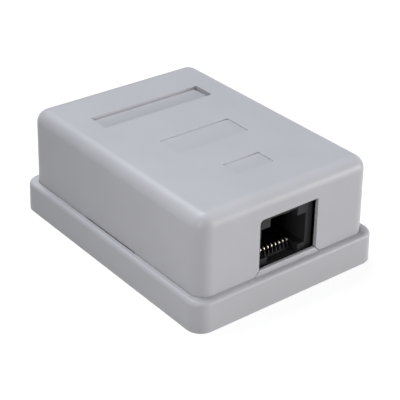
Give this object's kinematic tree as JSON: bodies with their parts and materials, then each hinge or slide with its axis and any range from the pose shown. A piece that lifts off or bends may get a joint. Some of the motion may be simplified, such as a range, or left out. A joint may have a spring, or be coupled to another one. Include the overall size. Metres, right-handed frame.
{
  "type": "surface mount jack box",
  "caption": "Small wall box with a lift-off cover over a board-mounted modular jack and wire terminal blocks.",
  "frame": {"origin": "middle of the underside of the base tray, on the wall face", "axes": "+Z away from the wall through the top of the cover, -Y out of the port, +X to the right seen from above with the port towards the viewer"},
  "size_m": [0.0486, 0.065, 0.0247],
  "materials": {
    "tray_plastic": "fine satin moulded",
    "cover_plastic": "fine satin moulded",
    "jack_plastic": "black glass-filled, satin",
    "block_plastic": "ivory, satin moulded",
    "board_laminate": "green solder mask over glass laminate",
    "gold_wire": "gold-plated phosphor bronze",
    "tinned_blade": "tin-plated bronze, dull",
    "screw_steel": "zinc-plated steel"
  },
  "bodies": {
    "base": {"base_tray": "tray_plastic", "circuit_board": "board_laminate", "jack_housing": "jack_plastic", "jack_contact_insert": "jack_plastic", "jack_contact_1": "gold_wire", "jack_contact_2": "gold_wire", "jack_contact_3": "gold_wire", "jack_contact_4": "gold_wire", "jack_contact_5": "gold_wire", "jack_contact_6": "gold_wire", "jack_contact_7": "gold_wire", "jack_contact_8": "gold_wire", "idc_block_left": "block_plastic", "idc_block_right": "block_plastic", "idc_contact_1": "tinned_blade", "idc_contact_2": "tinned_blade", "idc_contact_3": "tinned_blade", "idc_contact_4": "tinned_blade", "idc_contact_5": "tinned_blade", "idc_contact_6": "tinned_blade", "idc_contact_7": "tinned_blade", "idc_contact_8": "tinned_blade", "board_screw_left": "screw_steel", "board_screw_right": "screw_steel"},
    "cover": {"cover": "cover_plastic"}
  },
  "joints": [
    {"name": "cover_lift", "type": "slide", "parent": "base", "child": "cover", "axis": [0, 0, 1], "range_m": [0, 0.03]}
  ]
}
